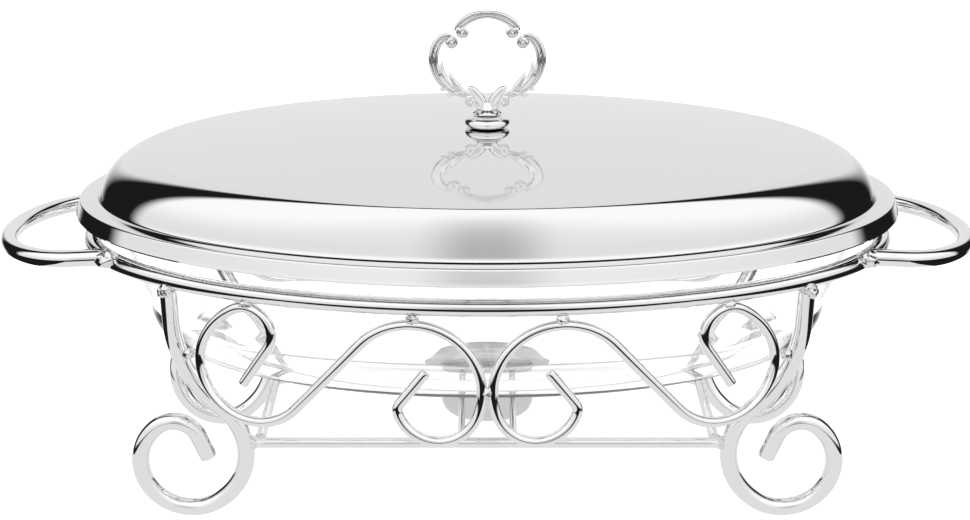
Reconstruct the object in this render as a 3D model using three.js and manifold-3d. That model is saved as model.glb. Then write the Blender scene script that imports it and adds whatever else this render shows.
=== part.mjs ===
// Candle-heated oval food warmer: a bent-wire stand with four scroll legs, a glass roasting dish
// wedged in the stand's oval ring, a polished lid with a cast openwork knob, and a tealight burner.
// Millimetres, +Z up, the long side along X. Origin: on the floor, under the middle of the ring.
import * as THREE from 'three';
import { mergeVertices } from 'three/addons/utils/BufferGeometryUtils.js';
import Module from 'manifold-3d';

// ---- driving dimensions -------------------------------------------------------------------
const GAP = 0.3; // clearance between pieces that touch

const MAIN_WIRE = 7.5; // diameter of ring, handles and legs
const THIN_WIRE = 4.4; // diameter of scrolls and stretchers
const STRUT_WIRE = 3; // diameter of the burner's hoop and struts

const RING = { a: 173.5, b: 116, z: 111 }; // centreline half-length, half-width and height

const LEG_X = 131.5; // where a leg hangs from the ring
const LEG_FOOT_Y = 58; // the feet stand closer together than the ring is wide
const FOOT_FLAT = 0.45; // depth of the small flat ground under each foot

const HANDLE = { y: 49.6, tip: 210, round: 34, lift: 2.2, droop: 2.2 };

const STRETCHER_Z = 35;
const CRADLE_Y = 23; // back run of the U-shaped wire behind the burner
const CRADLE_CORNER = 9;

const BURNER = { rimR: 28, bowlR: 20.4, footR: 15, rimZ: 49, floorZ: 27.5, wall: 0.8 };
const TEALIGHT = { r: 18.8, height: 13, wall: 0.5, waxDrop: 1.6, wickR: 0.8, wickUp: 4.2 };

const DISH = { rimA: 175, rimB: 123, topZ: 128.3, rimT: 5, bottomZ: 65, floorT: 5, wall: 4.6 };
const DISH_NECK = { a: 163.5, b: 113.4 }; // outside of the wall just under the rim
const DISH_FOOT = { a: 131, b: 89 }; // flat underside

const LID = { a: 180, b: 128, skirtZ: 122.4, flangeZ: 129.8, topZ: 158.2, sheet: 1 };
const LID_FLANGE = 8; // width of the flat band around the dome
const DOME = { height: 20.6, atEnds: 25, atSides: 6 }; // shoulder height and how far it sits in
const DOME_SLOPE = { atEnds: 0.15, atSides: 0.5 }; // how much of that the wall leans from its foot
const LID_HOLE = 2.7; // radius of the hole for the knob screw

const KNOB = { top: 209.6, halfWidth: 25.2, collarR: 10, collarH: 5.2, boreR: 2.3 };

// ---- finishes -----------------------------------------------------------------------------
const FINISH = {
  chrome: { color: 0xd8d9da, roughness: 0.08, metalness: 1 },
  steel: { color: 0xd2d3d4, roughness: 0.18, metalness: 1 },
  glass: { color: 0xeef4f2, roughness: 0.03, metalness: 0 },
  burner: { color: 0xb9babb, roughness: 0.35, metalness: 1 },
  foil: { color: 0xc9cacc, roughness: 0.3, metalness: 1 },
  wax: { color: 0xf4f1e6, roughness: 0.6, metalness: 0 },
  wick: { color: 0xe6e0cf, roughness: 0.95, metalness: 0 },
};

const root = new THREE.Group();

function addPiece(name, geometry, finish) {
  const material = new THREE.MeshStandardMaterial(FINISH[finish]);
  const mesh = new THREE.Mesh(geometry, material);
  mesh.name = name;
  root.add(mesh);
  return mesh;
}

// ---- geometry helpers ---------------------------------------------------------------------

// A lathe whose rings are ovals. Each ring is [half-length, half-width, z]; the profile runs
// up the outside of the wall, and either reaches the axis at both ends or closes on itself.
function ovalLathe(rings, segments) {
  const profile = rings.map(([a, , z]) => new THREE.Vector2(a, z));
  const geometry = new THREE.LatheGeometry(profile, segments);
  const position = geometry.attributes.position;
  for (let i = 0; i < position.count; i += 1) {
    const [a, b] = rings[i % rings.length];
    const squeeze = a > 0 ? b / a : 1;
    const x = position.getX(i);
    const z = position.getY(i);
    const y = -position.getZ(i) * squeeze;
    position.setXYZ(i, x, y, z);
  }
  return geometry;
}

function roundLathe(points, segments) {
  return ovalLathe(points.map(([r, z]) => [r, r, z]), segments);
}

function closeLoop(rings) {
  return [...rings, rings[0]];
}

// Round wire swept along a curve, with flat ends.
function wire(curve, diameter, steps, sides = 8) {
  const section = new THREE.Shape();
  section.absarc(0, 0, diameter / 2, 0, Math.PI * 2, false);
  return new THREE.ExtrudeGeometry(section, {
    steps,
    curveSegments: sides / 2,
    bevelEnabled: false,
    extrudePath: curve,
  });
}

// A wire shape as a bender makes it: from a start point and heading, straight lengths
// [length] and bends [radius, degrees], degrees positive to the left.
function bendPath(start, heading, moves) {
  const path = new THREE.CurvePath();
  let at = new THREE.Vector2(...start);
  let angle = THREE.MathUtils.degToRad(heading);
  for (const [size, turn] of moves) {
    if (turn === undefined) {
      const end = new THREE.Vector2(Math.cos(angle), Math.sin(angle)).multiplyScalar(size).add(at);
      path.add(new THREE.LineCurve(at, end));
      at = end;
    } else {
      const sweep = THREE.MathUtils.degToRad(turn);
      const side = Math.sign(sweep) * Math.PI / 2;
      const cx = at.x + size * Math.cos(angle + side);
      const cy = at.y + size * Math.sin(angle + side);
      const from = angle - side;
      const arc = new THREE.EllipseCurve(cx, cy, size, size, from, from + sweep, sweep < 0);
      path.add(arc);
      at = arc.getPoint(1);
      angle += sweep;
    }
  }
  return path;
}

// The path of a flat bend carried into space by a function from (u, z) to a point.
class BentCurve extends THREE.Curve {
  constructor(flat, place) {
    super();
    this.flat = flat;
    this.place = place;
  }

  getPoint(t, target = new THREE.Vector3()) {
    const p = this.flat.getPoint(t);
    return target.copy(this.place(p.x, p.y));
  }
}

const wasm = await Module();
wasm.setup();

function toSolid(geometry) {
  const bare = geometry.index ? geometry.clone() : geometry;
  const clean = new THREE.BufferGeometry();
  clean.setAttribute('position', bare.attributes.position);
  if (bare.index) clean.setIndex(bare.index);
  const merged = mergeVertices(clean, 1e-4);
  return new wasm.Manifold(new wasm.Mesh({
    numProp: 3,
    vertProperties: new Float32Array(merged.attributes.position.array),
    triVerts: new Uint32Array(merged.index.array),
  }));
}

function toGeometry(solid) {
  const mesh = solid.getMesh();
  const geometry = new THREE.BufferGeometry();
  geometry.setAttribute('position', new THREE.BufferAttribute(new Float32Array(mesh.vertProperties), 3));
  geometry.setIndex(new THREE.BufferAttribute(new Uint32Array(mesh.triVerts), 1));
  return geometry;
}

function joinAll(geometries) {
  return geometries.map(toSolid).reduce((sum, solid) => sum.add(solid));
}

// ---- stand --------------------------------------------------------------------------------

function ringY(x) {
  return RING.b * Math.sqrt(1 - (x / RING.a) ** 2);
}

function makeRing() {
  const r = MAIN_WIRE / 2;
  const sides = 6;
  const rings = [];
  for (let i = 0; i <= sides; i += 1) {
    const angle = (i / sides) * Math.PI * 2;
    const out = r * Math.cos(angle);
    rings.push([RING.a + out, RING.b + out, RING.z + r * Math.sin(angle)]);
  }
  addPiece('ring', ovalLathe(rings, 60), 'chrome');
}

// A loop of wire butted against the outside of the ring, its outer end drooping a little.
function makeHandle(name, side) {
  const startX = RING.a * Math.sqrt(1 - ((HANDLE.y - MAIN_WIRE / 2) / RING.b) ** 2) + MAIN_WIRE / 2 + 1.2;
  const bendX = HANDLE.tip - HANDLE.round;
  const flat = new THREE.CurvePath();
  const near = new THREE.Vector2(startX, -HANDLE.y);
  const far = new THREE.Vector2(startX, HANDLE.y);
  flat.add(new THREE.LineCurve(near, new THREE.Vector2(bendX, -HANDLE.y)));
  flat.add(new THREE.EllipseCurve(bendX, 0, HANDLE.round, HANDLE.y, -Math.PI / 2, Math.PI / 2, false));
  flat.add(new THREE.LineCurve(new THREE.Vector2(bendX, HANDLE.y), far));
  const place = (x, y) => {
    const out = (x - startX) / (HANDLE.tip - startX);
    return new THREE.Vector3(side * x, y, RING.z + HANDLE.lift - HANDLE.droop * out);
  };
  addPiece(name, wire(new BentCurve(flat, place), MAIN_WIRE, 26), 'chrome');
}

// Leg: straight down from the ring, a long sweep inward, then the round foot scroll and its curl.
const LEG_BENDS = [[14], [54, 48], [27, -108], [21.2, -174], [11, -105], [10.5]];

const LEG_HEADING = 271.5;

function legCurve(sx, sy) {
  const startZ = RING.z - MAIN_WIRE / 2 - GAP - 0.4;
  const flat = bendPath([-LEG_X, startZ], LEG_HEADING, LEG_BENDS);
  const lowest = Math.min(...flat.getSpacedPoints(400).map((p) => p.y));
  const drop = lowest - (MAIN_WIRE / 2 - FOOT_FLAT);
  const topY = ringY(LEG_X);
  const place = (x, z) => {
    const down = (startZ - z) / (startZ - lowest);
    const y = topY + (LEG_FOOT_Y - topY) * down;
    return new THREE.Vector3(-sx * x, sy * y, z - drop * down);
  };
  return new BentCurve(flat, place);
}

function makeLeg(name, sx, sy) {
  const leg = toSolid(wire(legCurve(sx, sy), MAIN_WIRE, 34));
  const floor = new THREE.BoxGeometry(200, 200, 20);
  floor.translate(sx * LEG_X, sy * LEG_FOOT_Y, -10);
  addPiece(name, toGeometry(leg.subtract(toSolid(floor))), 'chrome');
}

// Decorative scroll, one wire for each half of a side: inner curl, arch, outer bow, outer curl.
const SCROLL_START = [-25.5, 86];
const SCROLL_BENDS = [[17], [5, 59], [17, 139], [28, 158], [40], [23, -160], [31, -38], [10.5, -153], [19.5]];

function scrollCurve(sx, sy) {
  const flat = bendPath(SCROLL_START, 232, SCROLL_BENDS);
  const points = flat.getSpacedPoints(600);
  const inner = Math.max(...points.map((p) => p.x));
  const shiftX = -THIN_WIRE / 2 - GAP / 2 - inner;
  const highest = Math.max(...points.map((p) => p.y));
  const shiftZ = RING.z - MAIN_WIRE / 2 - THIN_WIRE / 2 - GAP - highest;
  const place = (x, z) => {
    const u = x + shiftX;
    return new THREE.Vector3(-sx * u, sy * (ringY(u) + 0.8), z + shiftZ);
  };
  return new BentCurve(flat, place);
}

function makeScroll(name, sx, sy) {
  addPiece(name, wire(scrollCurve(sx, sy), THIN_WIRE, 46, 6), 'chrome');
}

function legPointAt(z) {
  const curve = legCurve(1, -1);
  const inward = curve.getSpacedPoints(400).filter((p) => p.x < LEG_X - 15);
  return inward.reduce((best, p) => (Math.abs(p.z - z) < Math.abs(best.z - z) ? p : best));
}

function makeStretcherFront() {
  const leg = legPointAt(STRETCHER_Z);
  const reach = leg.x - MAIN_WIRE / 2 - GAP - 0.6;
  const bar = new THREE.LineCurve3(
    new THREE.Vector3(-reach, leg.y, STRETCHER_Z),
    new THREE.Vector3(reach, leg.y, STRETCHER_Z),
  );
  addPiece('stretcher_front', wire(bar, THIN_WIRE, 1), 'chrome');
}

// U-shaped wire from one front leg round behind the burner to the other.
function makeCradle() {
  const leg = legPointAt(STRETCHER_Z);
  const x = leg.x - MAIN_WIRE / 2 - THIN_WIRE / 2 - 0.8;
  const frontY = leg.y + THIN_WIRE + GAP;
  const c = CRADLE_CORNER;
  const flat = new THREE.CurvePath();
  flat.add(new THREE.LineCurve(new THREE.Vector2(-x, frontY), new THREE.Vector2(-x, CRADLE_Y - c)));
  flat.add(new THREE.EllipseCurve(-x + c, CRADLE_Y - c, c, c, Math.PI, Math.PI / 2, true));
  flat.add(new THREE.LineCurve(new THREE.Vector2(-x + c, CRADLE_Y), new THREE.Vector2(x - c, CRADLE_Y)));
  flat.add(new THREE.EllipseCurve(x - c, CRADLE_Y - c, c, c, Math.PI / 2, 0, true));
  flat.add(new THREE.LineCurve(new THREE.Vector2(x, CRADLE_Y - c), new THREE.Vector2(x, frontY)));
  const place = (u, v) => new THREE.Vector3(u, v, STRETCHER_Z);
  addPiece('stretcher_back', wire(new BentCurve(flat, place), THIN_WIRE, 36, 6), 'chrome');
}

const HOOP_R = BURNER.bowlR + STRUT_WIRE / 2 + GAP;
const HOOP_Z = BURNER.rimZ - BURNER.wall - GAP - STRUT_WIRE / 2 - 1.2;

function makeHoop() {
  const r = STRUT_WIRE / 2;
  const section = [];
  for (let i = 0; i <= 6; i += 1) {
    const angle = (i / 6) * Math.PI * 2;
    section.push([HOOP_R + r * Math.cos(angle), HOOP_Z + r * Math.sin(angle)]);
  }
  addPiece('burner_hoop', roundLathe(section, 28), 'chrome');
}

// Struts carry the hoop: two lean back from the front stretcher, two lean forward from the cradle.
function makeStruts() {
  const spread = 11;
  const hoopY = Math.sqrt(HOOP_R ** 2 - spread ** 2) + STRUT_WIRE / 2;
  const wireTop = STRETCHER_Z + THIN_WIRE / 2 + STRUT_WIRE / 2 + GAP;
  const under = HOOP_Z - STRUT_WIRE - GAP;
  for (const [side, sx] of [['left', -1], ['right', 1]]) {
    const frontFoot = new THREE.Vector3(sx * spread, legPointAt(STRETCHER_Z).y, wireTop);
    const frontHead = new THREE.Vector3(sx * spread, -hoopY + 2, under);
    addPiece(`strut_front_${side}`, wire(new THREE.LineCurve3(frontFoot, frontHead), STRUT_WIRE, 1, 6), 'chrome');
    const backFoot = new THREE.Vector3(sx * spread, CRADLE_Y, wireTop);
    const backHead = new THREE.Vector3(sx * spread, hoopY - 2, under);
    addPiece(`strut_back_${side}`, wire(new THREE.LineCurve3(backFoot, backHead), STRUT_WIRE, 1, 6), 'chrome');
  }
}

// ---- burner and tealight ------------------------------------------------------------------

function makeBurner() {
  const { rimR, bowlR, footR, rimZ, floorZ, wall } = BURNER;
  const outside = [[0, floorZ], [footR, floorZ], [bowlR - 1.4, floorZ + 2], [bowlR, floorZ + 6],
    [bowlR, rimZ - 2.4], [rimR, rimZ - wall]];
  const inside = [[rimR, rimZ], [bowlR - wall, rimZ - 1.6], [bowlR - wall, floorZ + 6.2],
    [bowlR - 1.9, floorZ + 2.6], [footR - 0.2, floorZ + wall], [0, floorZ + wall]];
  addPiece('burner_bowl', roundLathe([...outside, ...inside], 28), 'burner');
}

function makeTealight() {
  const { r, height, wall, waxDrop, wickR, wickUp } = TEALIGHT;
  const seat = BURNER.floorZ + 3.6;
  const top = seat + height;
  const waxTop = top - waxDrop;
  const waxR = r - wall - GAP;
  const caseProfile = [[0, seat], [r - 1, seat], [r, seat + 1], [r, top], [r - wall, top],
    [r - wall, seat + 1.2], [r - wall - 1, seat + wall], [0, seat + wall]];
  addPiece('tealight_case', roundLathe(caseProfile, 24), 'foil');
  const waxFloor = seat + wall + GAP;
  const bore = wickR + GAP;
  const waxProfile = [[bore, waxFloor], [waxR - 1.2, waxFloor], [waxR, waxFloor + 1.4],
    [waxR, waxTop], [bore, waxTop]];
  addPiece('tealight_wax', roundLathe(closeLoop(waxProfile), 20), 'wax');
  const wick = new THREE.CylinderGeometry(wickR, wickR, waxTop + wickUp - waxFloor, 8);
  wick.rotateX(Math.PI / 2);
  const piece = addPiece('tealight_wick', wick, 'wick');
  piece.position.z = (waxTop + wickUp + waxFloor) / 2;
}

// ---- glass dish ---------------------------------------------------------------------------

// Rings of the dish wall between the underside and the neck: straight flare with a round corner.
function dishWall(foot, neck, footZ, neckZ, corner, steps) {
  const rings = [[foot.a, foot.b, footZ]];
  const rise = neckZ - footZ;
  for (let i = 1; i <= steps; i += 1) {
    const angle = (i / steps) * (Math.PI / 2);
    const grow = corner.out * Math.sin(angle);
    const up = corner.up * (1 - Math.cos(angle));
    rings.push([foot.a + grow, foot.b + grow, footZ + up]);
  }
  rings.push([neck.a, neck.b, footZ + rise]);
  return rings;
}

function makeDish() {
  const { rimA, rimB, topZ, rimT, bottomZ, floorT, wall } = DISH;
  const rimUnder = topZ - rimT;
  const outside = dishWall(DISH_FOOT, DISH_NECK, bottomZ, rimUnder - 1, { out: 18, up: 18 }, 3);
  const rim = [[rimA - 1.5, rimB - 1.5, rimUnder], [rimA, rimB, rimUnder + 1.5],
    [rimA, rimB, topZ - 1.5], [rimA - 1.5, rimB - 1.5, topZ]];
  const innerFoot = { a: DISH_FOOT.a - 1, b: DISH_FOOT.b - 1 };
  const innerNeck = { a: DISH_NECK.a - wall, b: DISH_NECK.b - wall };
  const inside = dishWall(innerFoot, innerNeck, bottomZ + floorT, topZ - 2.5, { out: 15, up: 16 }, 3);
  const lip = [[innerNeck.a + 2.5, innerNeck.b + 2.5, topZ]];
  const rings = [[0, 0, bottomZ], ...outside, ...rim, ...lip, ...inside.reverse(), [0, 0, bottomZ + floorT]];
  addPiece('glass_dish', ovalLathe(rings, 48), 'glass');
}

// ---- lid and knob -------------------------------------------------------------------------

// Outer face of the lid from the skirt to the hole, as oval rings; `inset` gives the inner face.
// The dome leans in much further at its two ends than along its sides.
function lidFace(inset) {
  const { a, b, skirtZ, flangeZ, topZ } = LID;
  const at = (inwards, z) => [a - inwards - inset, b - inwards - inset, z];
  const domeFoot = 2 + LID_FLANGE;
  const rings = [at(0, skirtZ), at(0.4, skirtZ + 1.2), at(1.6, flangeZ - 0.8 - inset), at(2.4, flangeZ - inset),
    at(domeFoot - 0.5, flangeZ - inset + 0.2)];
  const steps = 5;
  for (let i = 1; i <= steps; i += 1) {
    const angle = (i / steps) * (Math.PI / 2);
    const lean = (slope) => (1 - slope) * (1 - Math.cos(angle)) + slope * Math.sin(angle);
    const [footA, footB] = at(domeFoot, flangeZ);
    const rise = DOME.height * Math.sin(angle);
    rings.push([footA - DOME.atEnds * lean(DOME_SLOPE.atEnds), footB - DOME.atSides * lean(DOME_SLOPE.atSides),
      flangeZ - inset + rise]);
  }
  const [shoulderA, shoulderB, shoulderZ] = rings[rings.length - 1];
  for (const share of [0.75, 0.4]) {
    const crown = (topZ - inset - shoulderZ) * (1 - share ** 2);
    rings.push([shoulderA * share, shoulderB * share, shoulderZ + crown]);
  }
  rings.push([LID_HOLE, LID_HOLE, topZ - inset]);
  return rings;
}

function makeLid() {
  const outer = lidFace(0);
  const inner = lidFace(LID.sheet);
  inner[0][2] = LID.skirtZ;
  addPiece('lid_shell', ovalLathe(closeLoop([...outer, ...inner.reverse()]), 52), 'steel');
}

const KNOB_BORE = 3.6; // depth of the screw hole in the cast loop
const KNOB_BASE = LID.topZ + KNOB.collarH + 2 * GAP; // where the cast loop stands on the collar

function makeCollar() {
  const { collarR, collarH, boreR } = KNOB;
  const z = LID.topZ + GAP;
  const profile = [[boreR, z], [collarR, z], [collarR, z + 0.8], [collarR - 0.8, z + 2.4],
    [collarR - 3, z + 4.2], [collarR - 5, z + collarH], [boreR, z + collarH]];
  addPiece('knob_collar', roundLathe(closeLoop(profile), 24), 'chrome');
}

function makeScrew() {
  const shank = 2;
  const z = LID.topZ - LID.sheet;
  const washer = [[2.4, z - 1.3], [6, z - 1.3], [6, z - GAP], [2.4, z - GAP]];
  addPiece('knob_washer', roundLathe(closeLoop(washer), 20), 'steel');
  const headTop = z - 1.3 - GAP;
  const head = [[0, headTop - 2.2], [2.6, headTop - 2.2], [3.8, headTop - 1.2], [3.8, headTop],
    [shank, headTop], [shank, KNOB_BASE + 3], [0, KNOB_BASE + 3]];
  addPiece('knob_screw', roundLathe(head, 16), 'steel');
}

// Cast openwork loop: stem with a bore for the screw, two V arms, C-scrolled sides and an arch.
function makeKnobLoop() {
  const base = KNOB_BASE;
  const stem = [[0, base], [6.2, base], [6.2, base + 0.8], [3.4, base + 3], [3.4, base + 6.5], [0, base + 7.5]];
  const flat = (points) => new THREE.CatmullRomCurve3(points.map(([x, z]) => new THREE.Vector3(x, 0, z)));
  const top = KNOB.top - 1.5;
  const arch = flat([[-12, top - 8.6], [-8.6, top - 2.6], [0, top], [8.6, top - 2.6], [12, top - 8.6]]);
  const pieces = [roundLathe(stem, 16), wire(arch, 3.2, 10, 6)];
  for (const s of [-1, 1]) {
    const sidePoints = [[11.5, 199.6], [15.5, 197.5], [20.8, 196.6], [23.4, 190.5], [21.4, 184.2], [20, 178],
      [14, 172.4], [7, 169.2], [0, 167.6]];
    pieces.push(wire(flat(sidePoints.map(([x, z]) => [s * x, z])), 3.8, 16, 6));
    pieces.push(wire(flat([[0, 168.5], [s * 4.5, 173], [s * 8.4, 177]]), 2.6, 3, 6));
    for (const [x, z, r] of [[11.6, 200.2, 2.9], [16, 195.2, 2.6], [7.6, 170, 2.3], [18.6, 184, 2.2]]) {
      const volute = new THREE.CylinderGeometry(r, r, 4.4, 9);
      volute.translate(s * x, 0, z);
      pieces.push(volute);
    }
    for (const [x, z, tilt] of [[20.6, 175.6, 2.2], [17, 172.8, 2.6], [18, 186.6, 0.6]]) {
      const leaf = new THREE.ConeGeometry(1.8, 5, 6);
      leaf.rotateY(Math.PI / 8);
      leaf.rotateX(Math.PI / 2);
      leaf.rotateY(s * tilt);
      leaf.translate(s * x, 0, z);
      pieces.push(leaf);
    }
  }
  const bore = new THREE.CylinderGeometry(KNOB.boreR, KNOB.boreR, 2 * KNOB_BORE, 16);
  bore.rotateX(Math.PI / 2);
  bore.translate(0, 0, base);
  addPiece('knob_loop', toGeometry(joinAll(pieces).subtract(toSolid(bore))), 'chrome');
}

// ---- assembly -----------------------------------------------------------------------------

makeRing();
makeHandle('handle_left', -1);
makeHandle('handle_right', 1);
for (const [end, sx] of [['left', -1], ['right', 1]]) {
  for (const [face, sy] of [['front', -1], ['back', 1]]) {
    makeLeg(`leg_${face}_${end}`, sx, sy);
    makeScroll(`scroll_${face}_${end}`, sx, sy);
  }
}
makeStretcherFront();
makeCradle();
makeHoop();
makeStruts();
makeBurner();
makeTealight();
makeDish();
makeLid();
makeCollar();
makeScrew();
makeKnobLoop();

export default root;
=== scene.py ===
"""Candle-heated oval food warmer: the finished look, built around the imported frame."""

import logging
import math
from dataclasses import dataclass, field
from enum import Enum
from typing import Iterable, Sequence

import bpy
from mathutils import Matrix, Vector


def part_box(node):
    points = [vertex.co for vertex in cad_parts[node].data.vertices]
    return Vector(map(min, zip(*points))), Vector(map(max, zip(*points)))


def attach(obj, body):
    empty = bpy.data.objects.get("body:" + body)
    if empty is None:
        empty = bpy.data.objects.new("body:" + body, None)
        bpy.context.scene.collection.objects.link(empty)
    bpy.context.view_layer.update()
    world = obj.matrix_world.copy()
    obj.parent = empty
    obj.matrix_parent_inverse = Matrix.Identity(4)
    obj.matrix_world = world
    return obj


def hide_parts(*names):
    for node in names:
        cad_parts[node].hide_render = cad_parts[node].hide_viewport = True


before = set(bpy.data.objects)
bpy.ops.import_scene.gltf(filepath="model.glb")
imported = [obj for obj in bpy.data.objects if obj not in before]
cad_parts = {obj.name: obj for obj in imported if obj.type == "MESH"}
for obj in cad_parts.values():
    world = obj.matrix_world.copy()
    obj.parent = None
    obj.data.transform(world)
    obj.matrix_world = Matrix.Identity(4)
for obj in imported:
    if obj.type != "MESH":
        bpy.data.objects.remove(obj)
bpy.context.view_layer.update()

MM = 0.001  # sizes below are in millimetres, meshes are in metres
LOG = logging.getLogger("food_warmer")

Point = tuple[float, float, float]
Pair = tuple[float, float]
Bend = tuple[float, ...]


class Side(Enum):
    """The two long halves of the object, by the sign of X."""

    LEFT = -1
    RIGHT = 1


class Face(Enum):
    """The front and the back of the object, by the sign of Y."""

    FRONT = -1
    BACK = 1


class Body(Enum):
    """The rigid bodies of the frame that pieces ride on."""

    STAND = "stand"
    DISH = "dish"
    LID = "lid"
    BURNER = "burner"
    TEALIGHT = "tealight"


# ---------------------------------------------------------------------------------------------
# Operator helpers
# ---------------------------------------------------------------------------------------------


def deselect_everything() -> None:
    """Leave edit mode if it is on, and clear the selection."""
    if bpy.context.mode != "OBJECT":
        bpy.ops.object.mode_set(mode="OBJECT")
    bpy.ops.object.select_all(action="DESELECT")


def activate(piece: bpy.types.Object) -> None:
    """Select one object alone and make it active."""
    deselect_everything()
    piece.select_set(True)
    bpy.context.view_layer.objects.active = piece


def apply_modifier(piece: bpy.types.Object, kind: str, **settings: object) -> None:
    """Add one modifier with its settings and apply it at once.

    Args:
        piece: The object to finish.
        kind: The modifier type, such as "BEVEL".
        settings: Values for the modifier's properties.
    """
    activate(piece)
    modifier = piece.modifiers.new(kind.lower(), kind)
    for name, value in settings.items():
        setattr(modifier, name, value)
    bpy.ops.object.modifier_apply(modifier=modifier.name)


def clean_mesh(piece: bpy.types.Object) -> None:
    """Merge doubled vertices and turn every face outward."""
    activate(piece)
    bpy.ops.object.mode_set(mode="EDIT")
    bpy.ops.mesh.select_all(action="SELECT")
    bpy.ops.mesh.remove_doubles(threshold=0.00001)
    bpy.ops.mesh.normals_make_consistent(inside=False)
    bpy.ops.object.mode_set(mode="OBJECT")


def smooth(piece: bpy.types.Object, degrees: float = 40.0) -> None:
    """Shade smooth, keeping edges sharper than the given angle."""
    activate(piece)
    bpy.ops.object.shade_smooth_by_angle(angle=math.radians(degrees))


def join(name: str, parts: Sequence[bpy.types.Object]) -> bpy.types.Object:
    """Join several meshes into one object.

    Args:
        name: The name of the joined piece.
        parts: The meshes to join; the first one keeps its place.

    Returns:
        The joined object.
    """
    deselect_everything()
    for part in parts:
        part.select_set(True)
    bpy.context.view_layer.objects.active = parts[0]
    if len(parts) > 1:
        bpy.ops.object.join()
    parts[0].name = name
    return parts[0]


def settle(piece: bpy.types.Object) -> None:
    """Put the object's place, turn and size into its mesh."""
    activate(piece)
    bpy.ops.object.transform_apply(location=True, rotation=True, scale=True)


# ---------------------------------------------------------------------------------------------
# Shader node groups and finishes
# ---------------------------------------------------------------------------------------------


@dataclass
class Wiring:
    """A short way to add nodes to one shader tree and to join them."""

    tree: bpy.types.NodeTree

    def feed(self, entry: bpy.types.NodeSocket, value: bpy.types.NodeSocket | float | Point) -> None:
        """Join a socket to an input, or set the input to a plain value."""
        if isinstance(value, bpy.types.NodeSocket):
            self.tree.links.new(value, entry)
        else:
            entry.default_value = value

    def node(self, kind: str, entries: dict[str, object] | None = None,
             **settings: object) -> bpy.types.Node:
        """Add one node.

        Args:
            kind: The shader node's type, without its prefix.
            entries: What each named input gets: a plain value, or the socket that feeds it.
            settings: The node's own properties, such as its operation.

        Returns:
            The node.
        """
        node = self.tree.nodes.new(f"ShaderNode{kind}")
        for name, value in settings.items():
            setattr(node, name, value)
        for name, value in (entries or {}).items():
            self.feed(node.inputs[name], value)
        return node

    def math(self, operation: str, *values: bpy.types.NodeSocket | float) -> bpy.types.NodeSocket:
        """One math node over sockets or plain numbers."""
        node = self.node("Math", operation=operation)
        for entry, value in zip(node.inputs, values):
            self.feed(entry, value)
        return node.outputs[0]

    def fade(self, source: bpy.types.NodeSocket, edge: Pair) -> bpy.types.NodeSocket:
        """A mask that turns smoothly from 0 at the edge's first value to 1 at its second."""
        rising = edge[0] < edge[1]
        limits = {"From Min": min(edge), "From Max": max(edge),
                  "To Min": 0.0 if rising else 1.0, "To Max": 1.0 if rising else 0.0}
        ramp = self.node("MapRange", limits | {"Value": source}, interpolation_type="SMOOTHSTEP")
        return ramp.outputs["Result"]


class NodeGroups:
    """Shared surface effects, each built once and placed in the materials that use it."""

    _made: dict[str, bpy.types.NodeTree] = {}

    @classmethod
    def start(cls, name: str, entries: dict[str, float],
              results: Sequence[str]) -> tuple[Wiring, bpy.types.Node, bpy.types.Node]:
        """Begin a group with its sockets.

        Args:
            name: The group's name.
            entries: Its inputs, each with its usual value.
            results: Its outputs.

        Returns:
            The wiring of its tree, its input node and its output node.
        """
        tree = bpy.data.node_groups.new(name, "ShaderNodeTree")
        for entry, value in entries.items():
            socket = tree.interface.new_socket(entry, in_out="INPUT", socket_type="NodeSocketFloat")
            socket.default_value = value
        for result in results:
            tree.interface.new_socket(result, in_out="OUTPUT", socket_type="NodeSocketFloat")
        cls._made[name] = tree
        return Wiring(tree), tree.nodes.new("NodeGroupInput"), tree.nodes.new("NodeGroupOutput")

    @classmethod
    def micro_wear(cls) -> bpy.types.NodeTree:
        """Fine unevenness of a polished surface.

        Returns:
            A group with inputs Scale, Low and High, and outputs Roughness and Height.
        """
        if "micro_wear" not in cls._made:
            usual = {"Scale": 120.0, "Low": 0.04, "High": 0.1}
            wiring, inputs, outputs = cls.start("micro_wear", usual, ("Roughness", "Height"))
            place = wiring.node("TexCoord").outputs["Object"]
            scale = inputs.outputs["Scale"]
            cloud = wiring.node("TexNoise", {"Vector": place, "Scale": scale, "Detail": 5.0})
            finer = wiring.math("MULTIPLY", scale, 7.0)
            grain = wiring.node("TexNoise", {"Vector": place, "Scale": finer, "Detail": 2.0})
            spread = wiring.node("MapRange", {
                "Value": cloud.outputs["Fac"], "From Min": 0.3, "From Max": 0.7,
                "To Min": inputs.outputs["Low"], "To Max": inputs.outputs["High"]})
            wiring.feed(outputs.inputs["Roughness"], spread.outputs["Result"])
            wiring.feed(outputs.inputs["Height"], grain.outputs["Fac"])
        return cls._made["micro_wear"]

    @classmethod
    def oval_polish(cls) -> bpy.types.NodeTree:
        """Fine polishing lines that run round an oval sheet.

        Returns:
            A group with inputs Squeeze and Lines and an output Height.
        """
        if "oval_polish" not in cls._made:
            usual = {"Squeeze": 1.4, "Lines": 900.0}
            wiring, inputs, outputs = cls.start("oval_polish", usual, ("Height",))
            split = wiring.node("SeparateXYZ", {"Vector": wiring.node("TexCoord").outputs["Object"]})
            across = wiring.math("MULTIPLY", split.outputs["Y"], inputs.outputs["Squeeze"])
            flat = wiring.node("CombineXYZ", {"X": split.outputs["X"], "Y": across})
            reach = wiring.node("VectorMath", {"Vector": flat.outputs[0]}, operation="LENGTH")
            stack = wiring.math("ADD", reach.outputs["Value"], split.outputs["Z"])
            line = wiring.node("TexNoise", noise_dimensions="1D")
            wiring.feed(line.inputs["W"], stack)
            wiring.feed(line.inputs["Scale"], inputs.outputs["Lines"])
            wiring.feed(line.inputs["Detail"], 3.0)
            wiring.feed(outputs.inputs["Height"], line.outputs["Fac"])
        return cls._made["oval_polish"]


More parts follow.
